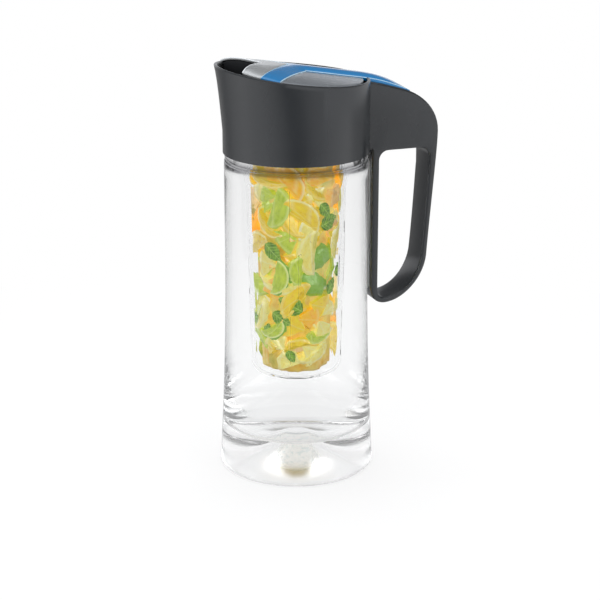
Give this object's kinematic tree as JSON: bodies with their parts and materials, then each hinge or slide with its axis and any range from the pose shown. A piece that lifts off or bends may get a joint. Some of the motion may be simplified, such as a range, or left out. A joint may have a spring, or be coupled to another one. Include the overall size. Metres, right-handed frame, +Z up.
{
  "type": "fruit infuser pitcher",
  "caption": "Clear lidded pitcher with a thick base, a collar with pouring lip and looped handle, a sprung thumb-operated flap and a slotted infuser tube hung inside.",
  "frame": {"origin": "centre of the standing ring, on the surface the pitcher stands on", "axes": "+Z up along the jug's axis, +X towards the handle, the pouring lip points to -X, +Y completes the right-handed frame"},
  "size_m": [0.1618, 0.1132, 0.3003],
  "materials": {
    "clear_jug": "clear, polished",
    "clear_infuser": "clear, polished",
    "anthracite": "satin",
    "inner_dark": "fine matt",
    "silver": "silver lacquer",
    "blue": "blue lacquer, polished",
    "seal": "translucent silicone",
    "pad": "soft, matt",
    "steel": "plain"
  },
  "bodies": {
    "jug": {"jug_body": "clear_jug"},
    "gasket": {"neck_gasket": "seal"},
    "collar_unit": {"collar_shell": "anthracite", "inner_lid": "inner_dark", "pour_strainer": "inner_dark", "infuser_holder": "inner_dark", "handle_shell": "anthracite", "handle_screws": "steel", "strap_pad": "pad", "hinge_pin": "steel", "lever_spring": "steel"},
    "flap": {"flap_frame": "inner_dark", "front_panel": "silver", "side_panel_left": "silver", "side_panel_right": "silver", "thumb_strip": "blue", "strip_screws": "steel", "pour_seal": "seal"},
    "infuser": {"infuser_tube": "clear_infuser"}
  },
  "joints": [
    {"name": "collar_turn", "type": "hinge", "parent": "jug", "child": "gasket", "pos_m": [0, 0, 0.24], "axis": [0, 0, 1], "range_deg": [0, 120]},
    {"name": "collar_lift", "type": "slide", "parent": "gasket", "child": "collar_unit", "axis": [0, 0, 1], "range_m": [0, 0.19]},
    {"name": "flap_open", "type": "hinge", "parent": "collar_unit", "child": "flap", "pos_m": [0.057, 0, 0.2772], "axis": [0, 1, 0], "range_deg": [0, 14], "stiffness_Nm_per_rad": 0.3, "springref_deg": -17.19, "deforming": ["lever_spring"]},
    {"name": "infuser_turn", "type": "hinge", "parent": "collar_unit", "child": "infuser", "pos_m": [0, 0, 0.25], "axis": [0, 0, 1], "range_deg": [0, 60]}
  ]
}
